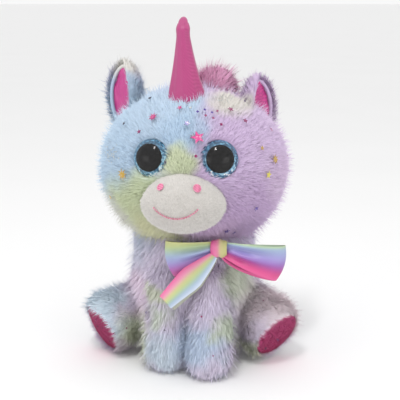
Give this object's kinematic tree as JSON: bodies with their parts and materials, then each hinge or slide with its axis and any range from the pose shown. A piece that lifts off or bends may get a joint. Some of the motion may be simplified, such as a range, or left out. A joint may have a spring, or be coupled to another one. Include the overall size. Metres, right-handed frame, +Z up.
{
  "type": "plush unicorn",
  "caption": "Sitting plush unicorn with a large round head, soft horn, glitter eyes, satin neck bow and stuffed legs that flex.",
  "frame": {"origin": "middle of the whole toy's outline on the surface it sits on", "axes": "+Z up, -Y the way the face looks, +X towards the toy's own left, which is the viewer's right"},
  "size_m": [0.1442, 0.156, 0.2336],
  "materials": {
    "plush_blue": "matte",
    "plush_lavender": "matte",
    "plush_green": "matte",
    "mane_plush": "matte",
    "muzzle_plush": "matte",
    "stuffing": "matte",
    "pellet_bag": "matte",
    "satin_ribbon": "satin",
    "embroidery_thread": "satin",
    "horn_satin": "satin",
    "ear_lining": "satin",
    "pad_plush": "matte",
    "pupil_black": "gloss",
    "glitter_disc": "gloss",
    "shank_plastic": "matte",
    "washer_plastic": "matte",
    "clear_dome": "gloss"
  },
  "bodies": {
    "torso": {"torso_front_left_panel": "plush_lavender", "torso_front_right_panel": "plush_lavender", "torso_back_left_panel": "plush_blue", "torso_back_right_panel": "plush_lavender", "seat_panel": "plush_green", "torso_stuffing": "stuffing", "pellet_bag": "pellet_bag", "neck_ribbon": "satin_ribbon", "bow_knot": "satin_ribbon", "bow_left_loop": "satin_ribbon", "bow_right_loop": "satin_ribbon"},
    "neck": {"neck_stuffing": "stuffing"},
    "head": {"head_front_left_panel": "plush_blue", "head_front_right_panel": "plush_lavender", "head_back_left_panel": "plush_blue", "head_back_right_panel": "plush_lavender", "head_stuffing": "stuffing", "muzzle_cover": "muzzle_plush", "muzzle_stuffing": "stuffing", "left_nostril": "embroidery_thread", "right_nostril": "embroidery_thread", "smile_stitches": "embroidery_thread", "left_eye_dome": "clear_dome", "left_eye_pupil": "pupil_black", "left_eye_glitter_disc": "glitter_disc", "left_eye_shank": "shank_plastic", "left_eye_washer": "washer_plastic", "right_eye_dome": "clear_dome", "right_eye_pupil": "pupil_black", "right_eye_glitter_disc": "glitter_disc", "right_eye_shank": "shank_plastic", "right_eye_washer": "washer_plastic", "mane": "mane_plush"},
    "horn": {"horn_cover": "horn_satin", "horn_stuffing": "stuffing"},
    "left_ear": {"left_ear_back": "plush_blue", "left_ear_lining": "ear_lining"},
    "right_ear": {"right_ear_back": "plush_lavender", "right_ear_lining": "ear_lining"},
    "front_left_leg": {"front_left_leg_cover": "plush_green", "front_left_leg_stuffing": "stuffing"},
    "front_right_leg": {"front_right_leg_cover": "plush_blue", "front_right_leg_stuffing": "stuffing"},
    "hind_left_leg": {"hind_left_leg_cover": "plush_blue", "hind_left_leg_stuffing": "stuffing", "hind_left_sole_pad": "pad_plush"},
    "hind_right_leg": {"hind_right_leg_cover": "plush_lavender", "hind_right_leg_stuffing": "stuffing", "hind_right_sole_pad": "pad_plush"},
    "tail": {"tail_cover": "mane_plush", "tail_stuffing": "stuffing"},
    "bow_tails": {"bow_front_tail": "satin_ribbon", "bow_back_tail": "satin_ribbon"}
  },
  "joints": [
    {"name": "neck_turn", "type": "hinge", "parent": "torso", "child": "neck", "pos_m": [0.001, -0.004, 0.084], "axis": [0, 0, 1], "range_deg": [-20, 20], "stiffness_Nm_per_rad": 0.5},
    {"name": "head_nod", "type": "hinge", "parent": "neck", "child": "head", "pos_m": [0.001, -0.004, 0.084], "axis": [1, 0, 0], "range_deg": [-12, 4], "stiffness_Nm_per_rad": 1},
    {"name": "horn_bend", "type": "hinge", "parent": "head", "child": "horn", "pos_m": [-0.0016, -0.023, 0.1805], "axis": [1, 0, 0], "range_deg": [-12, 12], "stiffness_Nm_per_rad": 0.06},
    {"name": "left_ear_fold", "type": "hinge", "parent": "head", "child": "left_ear", "pos_m": [-0.047, -0.002, 0.166], "axis": [1, 0, 0], "range_deg": [-12, 12], "stiffness_Nm_per_rad": 0.04},
    {"name": "right_ear_fold", "type": "hinge", "parent": "head", "child": "right_ear", "pos_m": [0.048, -0.002, 0.164], "axis": [1, 0, 0], "range_deg": [-12, 12], "stiffness_Nm_per_rad": 0.04},
    {"name": "front_left_leg_swing", "type": "hinge", "parent": "torso", "child": "front_left_leg", "pos_m": [-0.013, -0.033, 0.06], "axis": [-1, 0, 0], "range_deg": [0, 20], "stiffness_Nm_per_rad": 0.12},
    {"name": "front_right_leg_swing", "type": "hinge", "parent": "torso", "child": "front_right_leg", "pos_m": [0.016, -0.035, 0.06], "axis": [-1, 0, 0], "range_deg": [0, 20], "stiffness_Nm_per_rad": 0.12},
    {"name": "hind_left_leg_lift", "type": "hinge", "parent": "torso", "child": "hind_left_leg", "pos_m": [-0.04144, -0.00986, 0.02928], "axis": [-0.6402, 0.7682, 0], "range_deg": [0, 24], "stiffness_Nm_per_rad": 0.15},
    {"name": "hind_right_leg_lift", "type": "hinge", "parent": "torso", "child": "hind_right_leg", "pos_m": [0.04203, -0.01082, 0.03227], "axis": [-0.6671, -0.745, 0], "range_deg": [0, 24], "stiffness_Nm_per_rad": 0.15},
    {"name": "tail_lift", "type": "hinge", "parent": "torso", "child": "tail", "pos_m": [0, 0.04, 0.031], "axis": [1, 0, 0], "range_deg": [0, 20], "stiffness_Nm_per_rad": 0.03},
    {"name": "bow_tails_lift", "type": "hinge", "parent": "torso", "child": "bow_tails", "pos_m": [0.0185, -0.0475, 0.0805], "axis": [-1, 0, 0], "range_deg": [0, 30], "stiffness_Nm_per_rad": 0.004}
  ]
}
